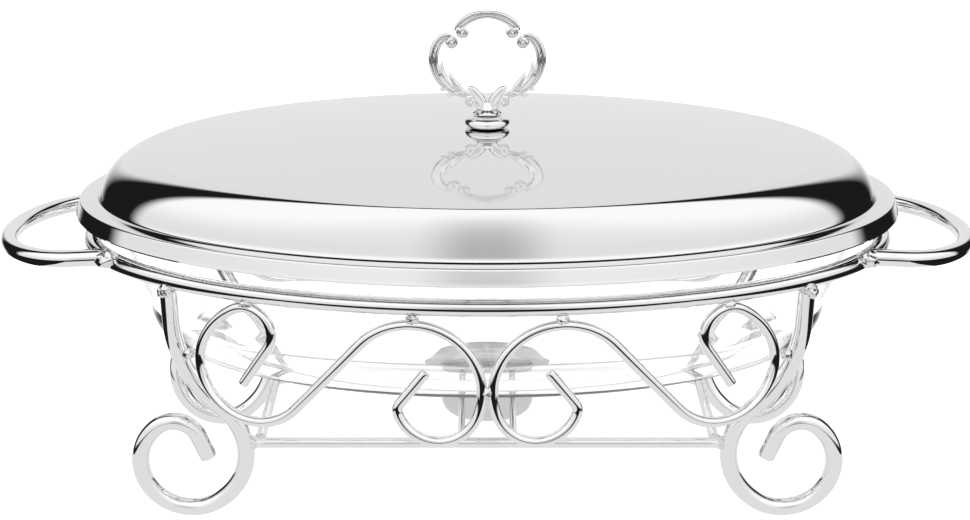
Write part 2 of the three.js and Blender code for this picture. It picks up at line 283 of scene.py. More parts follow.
def new_material(name: str) -> tuple[bpy.types.Material, bpy.types.Node]:
    """Make an empty node material.

    Args:
        name: The material's name.

    Returns:
        The material and its Principled BSDF node.
    """
    material = bpy.data.materials.new(name)
    material.use_nodes = True
    shader = material.node_tree.nodes["Principled BSDF"]
    return material, shader


def add_bump(material: bpy.types.Material, height: bpy.types.NodeSocket, strength: float,
             distance: float) -> None:
    """Feed a height into the material's normal through a Bump node.

    Args:
        material: The material to finish.
        height: The socket that gives the height.
        strength: The bump's strength, 0 to 1.
        distance: The bump's depth in metres.
    """
    nodes, links = material.node_tree.nodes, material.node_tree.links
    bump = nodes.new("ShaderNodeBump")
    bump.inputs["Strength"].default_value = strength
    bump.inputs["Distance"].default_value = distance
    links.new(height, bump.inputs["Height"])
    links.new(bump.outputs["Normal"], nodes["Principled BSDF"].inputs["Normal"])


def place_group(material: bpy.types.Material, tree: bpy.types.NodeTree,
                **values: float) -> bpy.types.Node:
    """Place a shared node group in a material and set its inputs.

    Args:
        material: The material that uses the effect.
        tree: The group.
        values: The group's input values by name.

    Returns:
        The group node.
    """
    node = material.node_tree.nodes.new("ShaderNodeGroup")
    node.node_tree = tree
    for name, value in values.items():
        node.inputs[name].default_value = value
    return node


@dataclass(frozen=True)
class BrightPlate:
    """Bright chrome plate: nearly a mirror, with faint clouding where hands polish it."""

    name: str
    tint: Point = (0.86, 0.865, 0.87)
    dullest: float = 0.05
    brightest: float = 0.015
    grain: float = 90.0
    bump: float = 0.03

    def material(self) -> bpy.types.Material:
        """Build the plated metal."""
        material, shader = new_material(self.name)
        shader.inputs["Base Color"].default_value = (*self.tint, 1.0)
        shader.inputs["Metallic"].default_value = 1.0
        wear = place_group(material, NodeGroups.micro_wear(), Scale=self.grain,
                           Low=self.brightest, High=self.dullest)
        material.node_tree.links.new(wear.outputs["Roughness"], shader.inputs["Roughness"])
        add_bump(material, wear.outputs["Height"], self.bump, 0.0001)
        return material


@dataclass(frozen=True)
class PolishedSheet:
    """Polished stainless sheet with fine polishing lines that follow its oval edge."""

    name: str
    tint: Point = (0.83, 0.83, 0.835)
    dullest: float = 0.06
    brightest: float = 0.035
    squeeze: float = 1.41
    bump: float = 0.03

    def material(self) -> bpy.types.Material:
        """Build the polished sheet."""
        material, shader = new_material(self.name)
        shader.inputs["Base Color"].default_value = (*self.tint, 1.0)
        shader.inputs["Metallic"].default_value = 1.0
        wear = place_group(material, NodeGroups.micro_wear(), Scale=25.0,
                           Low=self.brightest, High=self.dullest)
        material.node_tree.links.new(wear.outputs["Roughness"], shader.inputs["Roughness"])
        lines = place_group(material, NodeGroups.oval_polish(), Squeeze=self.squeeze, Lines=1400.0)
        add_bump(material, lines.outputs["Height"], self.bump, 0.0001)
        return material


@dataclass(frozen=True)
class ClearGlass:
    """Clear pressed glass with the faint waviness of its mould."""

    name: str
    index: float = 1.47
    roughness: float = 0.0

    def material(self) -> bpy.types.Material:
        """Build the glass."""
        material, shader = new_material(self.name)
        shader.inputs["Base Color"].default_value = (1.0, 1.0, 1.0, 1.0)
        shader.inputs["Roughness"].default_value = self.roughness
        shader.inputs["IOR"].default_value = self.index
        shader.inputs["Transmission Weight"].default_value = 1.0
        wear = place_group(material, NodeGroups.micro_wear(), Scale=14.0, Low=0.0, High=0.02)
        add_bump(material, wear.outputs["Height"], 0.02, 0.0002)
        return material


@dataclass(frozen=True)
class CandleWax:
    """White paraffin wax, cloudy and a little translucent."""

    name: str

    def material(self) -> bpy.types.Material:
        """Build the wax."""
        material, shader = new_material(self.name)
        shader.inputs["Base Color"].default_value = (0.95, 0.935, 0.89, 1.0)
        shader.inputs["Subsurface Weight"].default_value = 0.35
        shader.inputs["Subsurface Radius"].default_value = (0.004, 0.0035, 0.003)
        shader.inputs["Subsurface Scale"].default_value = 1.0
        wear = place_group(material, NodeGroups.micro_wear(), Scale=160.0, Low=0.35, High=0.6)
        material.node_tree.links.new(wear.outputs["Roughness"], shader.inputs["Roughness"])
        add_bump(material, wear.outputs["Height"], 0.15, 0.0002)
        return material


@dataclass(frozen=True)
class CottonWick:
    """Waxed braided cotton."""

    name: str

    def material(self) -> bpy.types.Material:
        """Build the wick's cotton, with painted shade in the braid's grooves."""
        material, shader = new_material(self.name)
        nodes, links = material.node_tree.nodes, material.node_tree.links
        braid = nodes.new("ShaderNodeTexWave")
        braid.bands_direction = "DIAGONAL"
        braid.inputs["Scale"].default_value = 420.0
        braid.inputs["Distortion"].default_value = 1.5
        place = nodes.new("ShaderNodeTexCoord")
        # The ramp paints the low parts of the braid's wave, which the bump sinks into grooves, a
        # darker tan: painted shade. Its light end is the cotton's own cream colour.
        shade = nodes.new("ShaderNodeValToRGB")
        shade.color_ramp.elements[0].color = (0.62, 0.58, 0.5, 1.0)
        shade.color_ramp.elements[1].color = (0.9, 0.88, 0.82, 1.0)
        links.new(place.outputs["Object"], braid.inputs["Vector"])
        links.new(braid.outputs["Fac"], shade.inputs["Fac"])
        links.new(shade.outputs["Color"], shader.inputs["Base Color"])
        shader.inputs["Roughness"].default_value = 0.9
        add_bump(material, braid.outputs["Fac"], 0.5, 0.0002)
        return material


# ---------------------------------------------------------------------------------------------
# Ways of making: bent wire and turned ovals
# ---------------------------------------------------------------------------------------------


def bend(start: Pair, heading: float, moves: Iterable[Bend],
         step: float = 1.5) -> list[Pair]:
    """Walk a bent wire: straight lengths (length,) and bends (radius, degrees), left positive.

    Args:
        start: The first point, in millimetres.
        heading: The first direction, in degrees.
        moves: The straight lengths and bends in order.
        step: The spacing of the points.

    Returns:
        Points along the centreline.
    """
    x, z = start
    angle = math.radians(heading)
    points = [(x, z)]
    for move in moves:
        if len(move) == 1:
            count = max(1, round(move[0] / (3 * step)))
            for _ in range(count):
                x += move[0] / count * math.cos(angle)
                z += move[0] / count * math.sin(angle)
                points.append((x, z))
            continue
        radius, turn = move[0], math.radians(move[1])
        count = max(2, math.ceil(radius * abs(turn) / step))
        chord = 2 * radius * math.sin(abs(turn) / count / 2)
        for _ in range(count):
            angle += turn / count / 2
            x += chord * math.cos(angle)
            z += chord * math.sin(angle)
            points.append((x, z))
            angle += turn / count / 2
    return points


def spline(name: str, points: Sequence[Point], radii: Sequence[float],
           closed: bool = False, sides: int = 6) -> bpy.types.Object:
    """Draw a smooth curve through points, thicken it and make it a mesh.

    Args:
        name: The object's name.
        points: The curve's points in millimetres.
        radii: The wire's radius at each point, in millimetres.
        closed: True for a ring.
        sides: The bevel resolution of the round section.

    Returns:
        The mesh object.
    """
    deselect_everything()
    bpy.ops.curve.primitive_bezier_curve_add(location=(0, 0, 0))
    piece = bpy.context.active_object
    piece.name = name
    curve = piece.data
    curve.dimensions = "3D"
    curve.twist_mode = "MINIMUM"
    line = curve.splines[0]
    line.bezier_points.add(len(points) - len(line.bezier_points))
    line.use_cyclic_u = closed
    for knot, place, radius in zip(line.bezier_points, points, radii):
        knot.co = Vector(place) * MM
        knot.radius = radius
        knot.handle_left_type = "AUTO"
        knot.handle_right_type = "AUTO"
    line.resolution_u = 3
    curve.bevel_depth = MM
    curve.bevel_resolution = sides
    curve.use_fill_caps = not closed
    activate(piece)
    bpy.ops.object.convert(target="MESH")
    clean_mesh(piece)
    return piece


def wire(name: str, points: Sequence[Point], diameter: float,
         closed: bool = False) -> bpy.types.Object:
    """Make a drawn round wire with softened cut ends.

    Args:
        name: The object's name.
        points: The centreline in millimetres.
        diameter: The wire's diameter in millimetres.
        closed: True for a ring.

    Returns:
        The mesh object.
    """
    piece = spline(name, points, [diameter / 2] * len(points), closed)
    if not closed:
        apply_modifier(piece, "BEVEL", width=0.35 * MM, segments=3, limit_method="ANGLE",
                       angle_limit=math.radians(60))
    smooth(piece)
    return piece


@dataclass
class OvalTurning:
    """A wall raised ring by ring from a small oval, each ring stretched to its own size."""

    name: str
    segments: int = 160
    rings: list[Point] = field(default_factory=list)

    def ring(self, half_length: float, half_width: float, z: float) -> "OvalTurning":
        """Add one ring, in millimetres."""
        self.rings.append((half_length, half_width, z))
        return self

    def round_rings(self, profile: Iterable[Pair]) -> "OvalTurning":
        """Add round rings of the given (radius, z), in millimetres."""
        for radius, z in profile:
            self.ring(radius, radius, z)
        return self

    def raise_wall(self, closed: bool = False, caps: bool = True) -> bpy.types.Object:
        """Extrude the rings one after another.

        Args:
            closed: True to bridge the last ring to the first.
            caps: True to fill the first and last ring.

        Returns:
            The mesh object.
        """
        deselect_everything()
        a, b, z = self.rings[0]
        bpy.ops.mesh.primitive_circle_add(vertices=self.segments, radius=1.0,
                                          fill_type="NGON" if caps else "NOTHING",
                                          location=(0, 0, 0))
        piece = bpy.context.active_object
        piece.name = self.name
        bpy.ops.object.mode_set(mode="EDIT")
        bpy.ops.mesh.select_all(action="SELECT")
        bpy.ops.transform.resize(value=(a * MM, b * MM, 1.0))
        bpy.ops.transform.translate(value=(0, 0, z * MM))
        bpy.ops.mesh.select_mode(type="EDGE")
        bpy.ops.mesh.select_all(action="SELECT")
        for wide, deep, high in self.rings[1:]:
            bpy.ops.mesh.extrude_edges_move()
            bpy.ops.transform.translate(value=(0, 0, (high - z) * MM))
            bpy.ops.transform.resize(value=(wide / a, deep / b, 1.0),
                                     center_override=(0, 0, high * MM))
            a, b, z = wide, deep, high
        if closed:
            bpy.ops.mesh.select_all(action="DESELECT")
            bpy.ops.mesh.select_non_manifold(extend=False)
            bpy.ops.mesh.bridge_edge_loops()
        elif caps:
            bpy.ops.mesh.edge_face_add()
        bpy.ops.object.mode_set(mode="OBJECT")
        clean_mesh(piece)
        return piece


def arc_steps(count: int, last: float = 90.0) -> list[float]:
    """Angles in radians from just above zero to `last` degrees."""
    return [math.radians(last) * i / count for i in range(1, count + 1)]


def finish_piece(piece: bpy.types.Object, material: bpy.types.Material, body: Body,
                 nodes: Sequence[str] = ()) -> bpy.types.Object:
    """Give a piece its material, its body and the nodes that it stands for.

    Args:
        piece: The finished mesh.
        material: Its material.
        body: The body it rides on.
        nodes: The CAD nodes that it replaces.

    Returns:
        The piece.
    """
    settle(piece)
    piece.data.materials.clear()
    piece.data.materials.append(material)
    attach(piece, body.value)
    if nodes:
        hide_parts(*nodes)
    LOG.info("%s: %d faces on %s", piece.name, len(piece.data.polygons), body.value)
    return piece


# ---------------------------------------------------------------------------------------------
# The bent-wire stand
# ---------------------------------------------------------------------------------------------


@dataclass
class WireStand:
    """The chromed stand: ring, handles, legs, scrolls, stretchers and burner hoop."""

    main_wire: float = 7.5
    thin_wire: float = 4.4
    strut_wire: float = 3.0
    ring_a: float = 173.5
    ring_b: float = 116.0
    ring_z: float = 111.0
    handle_y: float = 49.6
    handle_tip: float = 210.0
    handle_round: float = 34.0
    handle_lift: float = 2.2
    leg_x: float = 131.5
    leg_foot_y: float = 58.0
    leg_heading: float = 271.5
    leg_bends: tuple[Bend, ...] = ((14,), (54, 48), (27, -108), (21.2, -174), (11, -105), (10.5,))
    scroll_start: Pair = (-25.5, 86.0)
    scroll_bends: tuple[Bend, ...] = ((17,), (5, 59), (17, 139), (28, 158), (40,), (23, -160),
                                      (31, -38), (10.5, -153), (19.5,))
    stretcher_z: float = 35.0
    cradle_y: float = 23.0
    cradle_corner: float = 9.0
    strut_x: float = 11.0
    welds: list[tuple[Point, Point]] = field(default_factory=list)

    def ring_y(self, x: float) -> float:
        """Distance of the ring's centreline from the long axis at x."""
        return self.ring_b * math.sqrt(1 - (x / self.ring_a) ** 2)

    def build(self, plate: bpy.types.Material, bead: bpy.types.Material) -> None:
        """Make and dress every wire of the stand.

        Args:
            plate: The chrome plate of the wires.
            bead: The rougher plate of the weld beads.
        """
        self.dress(self.make_ring(), plate, "ring")
        for side in Side:
            word = side.name.lower()
            self.dress(self.make_handle(side), plate, f"handle_{word}")
            for face in Face:
                front = face.name.lower()
                self.dress(self.make_leg(side, face), plate, f"leg_{front}_{word}")
                self.dress(self.make_scroll(side, face), plate, f"scroll_{front}_{word}")
        self.dress(self.make_front_stretcher(), plate, "stretcher_front")
        self.dress(self.make_cradle(), plate, "stretcher_back")
        self.dress(self.make_hoop(), plate, "burner_hoop")
        self.make_struts(plate)
        self.make_welds(bead)

    def dress(self, piece: bpy.types.Object, plate: bpy.types.Material, node: str) -> None:
        """Plate one wire and let it stand for its node."""
        finish_piece(piece, plate, Body.STAND, [node])

    def make_ring(self) -> bpy.types.Object:
        """Bend the oval ring that holds the dish."""
        count = 96
        points = []
        for i in range(count):
            angle = 2 * math.pi * i / count
            x, y = self.ring_a * math.cos(angle), self.ring_b * math.sin(angle)
            points.append((x, y, self.ring_z))
        return wire("oval_ring", points, self.main_wire, closed=True)

    def make_handle(self, side: Side) -> bpy.types.Object:
        """Bend one handle loop, its ends butted against the outside of the ring."""
        start = self.ring_a * math.sqrt(1 - (self.handle_y / self.ring_b) ** 2) + self.main_wire / 2
        turn = self.handle_tip - self.handle_round
        flat = [(start + (turn - start) * i / 4, -self.handle_y) for i in range(4)]
        count = 40
        for i in range(count + 1):
            angle = math.pi * (i / count - 0.5)
            x, y = turn + self.handle_round * math.cos(angle), self.handle_y * math.sin(angle)
            flat.append((x, y))
        flat += [(x, -y) for x, y in reversed(flat[:4])]
        points = []
        for x, y in flat:
            out = (x - start) / (self.handle_tip - start)
            points.append((side.value * x, y, self.ring_z + self.handle_lift * (1 - out)))
        for sign in (-1, 1):
            outer = (side.value * (start - 0.4), sign * (self.handle_y + 1.6), self.ring_z + 1.9)
            inner = (side.value * (start + 2.0), sign * (self.handle_y - 2.2), self.ring_z + 0.6)
            self.welds += [(outer, (5.2, 4.4, 3.9)), (inner, (3.6, 3.0, 3.8))]
        return wire(f"handle_loop_{side.name.lower()}", points, self.main_wire)

    def leg_points(self, side: Side, face: Face) -> list[Point]:
        """Centreline of one leg, leaning inward to its foot."""
        top = self.ring_z - self.main_wire / 2
        flat = bend((-self.leg_x, top), self.leg_heading, self.leg_bends)
        lowest = min(z for _, z in flat)
        drop = lowest - self.main_wire / 2
        top_y = self.ring_y(self.leg_x)
        points = []
        for x, z in flat:
            down = (top - z) / (top - lowest)
            y = top_y + (self.leg_foot_y - top_y) * down
            points.append((-side.value * x, face.value * y, z - drop * down))
        return points

    def make_leg(self, side: Side, face: Face) -> bpy.types.Object:
        """Bend one scroll leg."""
        points = self.leg_points(side, face)
        x, y, z = points[0]
        self.welds.append(((x * 1.012, y + face.value * 2.4, z - 0.6), (3.0, 2.6, 3.3)))
        self.welds.append(((x * 0.992, y + face.value * 1.6, z + 0.4), (3.4, 2.8, 2.2)))
        return wire(f"scroll_leg_{face.name.lower()}_{side.name.lower()}", points, self.main_wire)

    def scroll_points(self, side: Side, face: Face) -> list[Point]:
        """Centreline of one decorative scroll, wrapped under the ring."""
        flat = bend(self.scroll_start, 232, self.scroll_bends)
        shift_x = -self.thin_wire / 2 - max(x for x, _ in flat)
        top = self.ring_z - self.main_wire / 2 - self.thin_wire / 2 + 0.2
        shift_z = top - max(z for _, z in flat)
        points = []
        for x, z in flat:
            u = x + shift_x
            points.append((-side.value * u, face.value * (self.ring_y(u) + 0.8), z + shift_z))
        return points

    def make_scroll(self, side: Side, face: Face) -> bpy.types.Object:
        """Bend one decorative scroll and note where it is welded."""
        points = self.scroll_points(side, face)
        crest = self.ring_z - self.main_wire / 2 - 0.4
        peaks = [p for p, q, r in zip(points[1:], points, points[2:]) if p[2] > q[2] and p[2] > r[2]]
        for x, y, z in peaks:
            self.welds.append(((x, y + face.value * 1.5, (crest + z + self.thin_wire / 2) / 2),
                               (2.9, 2.0, 1.9)))
        middle = min(points, key=lambda p: abs(p[0]))
        if side is Side.LEFT:
            self.welds.append(((0, middle[1] + face.value * 1.1, middle[2]), (2.3, 1.9, 2.5)))
        leg = self.leg_points(side, face)
        outer = max(points, key=lambda p: abs(p[0]))
        near = min(leg, key=lambda p: (Vector(p) - Vector(outer)).length)
        between = (Vector(near) + Vector(outer)) / 2
        self.welds.append(((between.x, between.y + face.value * 0.6, between.z), (2.6, 2.3, 2.6)))
        return wire(f"scroll_wire_{face.name.lower()}_{side.name.lower()}", points, self.thin_wire)

    def leg_at(self, z: float) -> Point:
        """The point of the right front leg's inward sweep at a height."""
        points = [p for p in self.leg_points(Side.RIGHT, Face.FRONT) if p[0] < self.leg_x - 15]
        return min(points, key=lambda p: abs(p[2] - z))

    def make_front_stretcher(self) -> bpy.types.Object:
        """Cut the straight bar between the front legs."""
        x, y, _ = self.leg_at(self.stretcher_z)
        reach = x - self.main_wire / 2 + 0.6
        points = [(reach * (i / 6 - 1), y, self.stretcher_z) for i in range(13)]
        for side in Side:
            self.welds.append(((side.value * (reach - 0.4), y, self.stretcher_z), (2.7, 2.7, 2.8)))
        return wire("front_stretcher", points, self.thin_wire)

    def make_cradle(self) -> bpy.types.Object:
        """Bend the U-shaped wire that runs from the front legs round behind the burner."""
        leg_x, leg_y, _ = self.leg_at(self.stretcher_z)
        x = leg_x - self.main_wire / 2 - self.thin_wire / 2 - 0.2
        c = self.cradle_corner
        start_y = leg_y + self.thin_wire - 1.0
        half = [(x, start_y + (self.cradle_y - c - start_y) * i / 8) for i in range(8)]
        for i in range(9):
            angle = math.pi / 2 * i / 8
            half.append((x - c + c * math.cos(angle), self.cradle_y - c + c * math.sin(angle)))
        half += [((x - c) * (1 - i / 8), self.cradle_y) for i in range(1, 9)]
        flat = half + [(-u, v) for u, v in reversed(half[:-1])]
        points = [(u, v, self.stretcher_z) for u, v in flat]
        for side in Side:
            place = (side.value * (x + 1), start_y + 0.5, self.stretcher_z)
            self.welds.append((place, (2.5, 2.5, 2.4)))
        return wire("cradle_wire", points, self.thin_wire)

    def hoop_size(self) -> Pair:
        """Radius and height of the burner hoop's centreline, from the frame."""
        low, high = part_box("burner_hoop")
        return high[0] / MM - self.strut_wire / 2, (low[2] + high[2]) / 2 / MM

    def make_hoop(self) -> bpy.types.Object:
        """Bend the round hoop that carries the burner cup."""
        radius, z = self.hoop_size()
        count = 64
        turns = [2 * math.pi * i / count for i in range(count)]
        points = [(radius * math.cos(t), radius * math.sin(t), z) for t in turns]
        return wire("hoop_wire", points, self.strut_wire, closed=True)

    def make_struts(self, plate: bpy.types.Material) -> None:
        """Cut the four short struts between the hoop and the two stretchers."""
        radius, z = self.hoop_size()
        hoop_y = math.sqrt(radius ** 2 - self.strut_x ** 2)
        base = self.stretcher_z + self.thin_wire / 2 + self.strut_wire / 2 - 0.2
        top = z - self.strut_wire + 0.3
        feet = {Face.FRONT: self.leg_at(self.stretcher_z)[1], Face.BACK: self.cradle_y}
        for face, foot_y in feet.items():
            for side in Side:
                x = side.value * self.strut_x
                ends = [(x, foot_y, base), (x, face.value * (hoop_y - 1.0), top)]
                points = [tuple(Vector(ends[0]).lerp(Vector(ends[1]), i / 6)) for i in range(7)]
                self.welds.append(((x, foot_y, base - 1.4), (2.2, 1.9, 1.7)))
                self.welds.append(((x, face.value * hoop_y, top + 1.2), (2.0, 1.7, 1.6)))
                name = f"{face.name.lower()}_{side.name.lower()}"
                strut = wire(f"hoop_strut_{name}", points, self.strut_wire)
                self.dress(strut, plate, f"strut_{name}")

    def make_welds(self, bead: bpy.types.Material) -> None:
        """Set a lumpy silver bead on every joint of the wires."""
        lumps = []
        for number, (place, size) in enumerate(self.welds):
            deselect_everything()
            bpy.ops.mesh.primitive_ico_sphere_add(subdivisions=3, radius=MM,
                                                  location=Vector(place) * MM)
            lump = bpy.context.active_object
            bpy.ops.object.mode_set(mode="EDIT")
            bpy.ops.mesh.select_all(action="SELECT")
            bpy.ops.transform.vertex_random(offset=0.36 * MM, seed=number, normal=1.0)
            bpy.ops.mesh.vertices_smooth(factor=0.5, repeat=1)
            bpy.ops.transform.resize(value=size)
            bpy.ops.object.mode_set(mode="OBJECT")
            apply_modifier(lump, "SUBSURF", levels=1, render_levels=1)
            lumps.append(lump)
        piece = join("weld_beads", lumps)
        smooth(piece, 180)
        finish_piece(piece, bead, Body.STAND)


# ---------------------------------------------------------------------------------------------
# The glass dish
# ---------------------------------------------------------------------------------------------


@dataclass
class RoastingDish:
    """The oval glass dish: thick floor, sloping wall, rounded rim."""

    rim_a: float = 175.0
    rim_b: float = 123.0
    rim_top: float = 128.3
    rim_thick: float = 5.0
    floor_z: float = 65.0
    floor_thick: float = 5.0
    wall: float = 4.6
    neck_a: float = 163.5
    neck_b: float = 113.4
    foot_a: float = 131.0
    foot_b: float = 89.0
    corner_out: float = 18.0
    corner_up: float = 18.0

    def build(self, glass: bpy.types.Material) -> None:
        """Press the dish and dress it."""
        piece = self.make_dish()
        smooth(piece, 60)
        finish_piece(piece, glass, Body.DISH, ["glass_dish"])

    def wall_rings(self, foot_a: float, foot_b: float, foot_z: float, neck: Point, out: float,
                   up: float) -> list[Point]:
        """Rings of a wall face from its foot to its neck.

        Args:
            foot_a: Half-length of the flat foot.
            foot_b: Half-width of the flat foot.
            foot_z: Height of the foot.
            neck: Half-length, half-width and height of the neck.
            out: How far the round corner goes outward.
            up: How far it goes up.

        Returns:
            The rings from foot to neck.
        """
        rings = [(foot_a, foot_b, foot_z)]
        for angle in arc_steps(10):
            grow = out * math.sin(angle)
            rings.append((foot_a + grow, foot_b + grow, foot_z + up * (1 - math.cos(angle))))
        last_a, last_b, last_z = rings[-1]
        for i in range(1, 9):
            share = i / 8
            rings.append((last_a + (neck[0] - last_a) * share, last_b + (neck[1] - last_b) * share,
                          last_z + (neck[2] - last_z) * share))
        return rings

    def make_dish(self) -> bpy.types.Object:
        """Raise the outside, roll the rim over and come down the inside."""
        turning = OvalTurning("glass_roasting_dish")
        under = self.rim_top - self.rim_thick
        for share in (0.02, 0.5, 0.96):
            turning.ring(self.foot_a * share, self.foot_b * share, self.floor_z)
        outside = self.wall_rings(self.foot_a, self.foot_b, self.floor_z,
                                  (self.neck_a, self.neck_b, under - 1.4),
                                  self.corner_out, self.corner_up)
        fillet = [(self.neck_a + 0.5, self.neck_b + 0.4, under - 0.5),
                  (self.neck_a + 1.8, self.neck_b + 1.5, under)]
        for ring in outside + fillet:
            turning.ring(*ring)
        half = self.rim_thick / 2
        turning.ring(self.rim_a - half, self.rim_b - half, under)
        for angle in arc_steps(12, 180):
            out = half * math.sin(angle) - half
            turning.ring(self.rim_a + out, self.rim_b + out, under + half * (1 - math.cos(angle)))
        inner_a, inner_b = self.neck_a - self.wall, self.neck_b - self.wall
        for angle in arc_steps(6):
            back = 3.0 * math.sin(angle)
            turning.ring(inner_a + 3.0 - back, inner_b + 3.0 - back,
                         self.rim_top - 2.5 * (1 - math.cos(angle)))
        inside = self.wall_rings(self.foot_a - 1, self.foot_b - 1, self.floor_z + self.floor_thick,
                                 (inner_a, inner_b, self.rim_top - 4.0),
                                 self.corner_out - 3, self.corner_up - 2)
        for ring in reversed(inside):
            turning.ring(*ring)
        top = self.floor_z + self.floor_thick
        for share in (0.9, 0.5, 0.02):
            turning.ring(self.foot_a * share, self.foot_b * share, top)
        return turning.raise_wall()


# ---------------------------------------------------------------------------------------------
# The lid and its knob
# ---------------------------------------------------------------------------------------------


@dataclass
class DomedLid:
    """The polished lid: rolled skirt, flat flange band and a low dome."""

    a: float = 180.0
    b: float = 128.0
    skirt_z: float = 122.4
    flange_z: float = 129.8
    top_z: float = 158.2
    sheet: float = 0.8
    flange: float = 8.0
    dome_height: float = 20.6
    dome_at_ends: float = 25.0
    dome_at_sides: float = 6.0
    slope_at_ends: float = 0.15
    slope_at_sides: float = 0.5
    hole: float = 2.6

    def build(self, sheet: bpy.types.Material) -> None:
        """Press the lid and dress it."""
        piece = self.make_shell()
        smooth(piece, 35)
        finish_piece(piece, sheet, Body.LID, ["lid_shell"])

    def face(self) -> list[Point]:
        """Rings of the outer face, from the rolled lip to the screw hole."""
        rings = []
        lip = 0.9
        for degrees in (-150, -100, -50, 0, 40):
            angle = math.radians(degrees)
            out = lip * math.cos(angle) - lip
            rings.append((self.a + out, self.b + out, self.skirt_z + lip + lip * math.sin(angle)))
        for inward, up in ((0.5, 2.6), (1.1, 4.6), (1.6, 6.4), (1.75, 6.9), (2.1, 7.25), (2.6, 7.4)):
            rings.append((self.a - inward, self.b - inward, self.skirt_z + up))
        foot = 2.0 + self.flange
        for inward, up in ((foot - 1.6, 7.4), (foot - 0.8, 7.5), (foot - 0.3, 7.8), (foot, 8.4)):
            rings.append((self.a - inward, self.b - inward, self.skirt_z + up))
        foot_a, foot_b = self.a - foot, self.b - foot
        for angle in arc_steps(34, 87):
            rise = self.dome_height * math.sin(angle)
            if rise < 1.4:
                continue
            at_ends = self.dome_at_ends * self.lean(angle, self.slope_at_ends)
            at_sides = self.dome_at_sides * self.lean(angle, self.slope_at_sides)
            rings.append((foot_a - at_ends, foot_b - at_sides, self.flange_z + rise))
        shoulder_a, shoulder_b, shoulder_z = rings[-1]
        for share in (0.97, 0.93, 0.87, 0.8, 0.7, 0.6, 0.5, 0.4, 0.3, 0.2, 0.1, 0.05):
            crown = (self.top_z - shoulder_z) * (1 - share ** 2)
            rings.append((shoulder_a * share, shoulder_b * share, shoulder_z + crown))
        rings.append((self.hole, self.hole, self.top_z))
        return rings

    def lean(self, angle: float, slope: float) -> float:
        """How far in the wall has come at an angle of its arc, from 0 at its foot to 1."""
        return (1 - slope) * (1 - math.cos(angle)) + slope * math.sin(angle)

    def make_shell(self) -> bpy.types.Object:
        """Raise the outer face and give it the sheet's thickness inward."""
        turning = OvalTurning("domed_lid", segments=200, rings=self.face())
        piece = turning.raise_wall(caps=False)
        self.face_outward(piece)
        apply_modifier(piece, "SOLIDIFY", thickness=self.sheet * MM, offset=-1.0)
        return piece

    def face_outward(self, piece: bpy.types.Object) -> None:
        """Turn the open shell's faces up and out, so that its thickness goes inward."""
        highest = max(piece.data.polygons, key=lambda p: p.center.z)
        if highest.normal.z < 0:
            activate(piece)
            bpy.ops.object.mode_set(mode="EDIT")
            bpy.ops.mesh.select_all(action="SELECT")
            bpy.ops.mesh.flip_normals()
            bpy.ops.object.mode_set(mode="OBJECT")


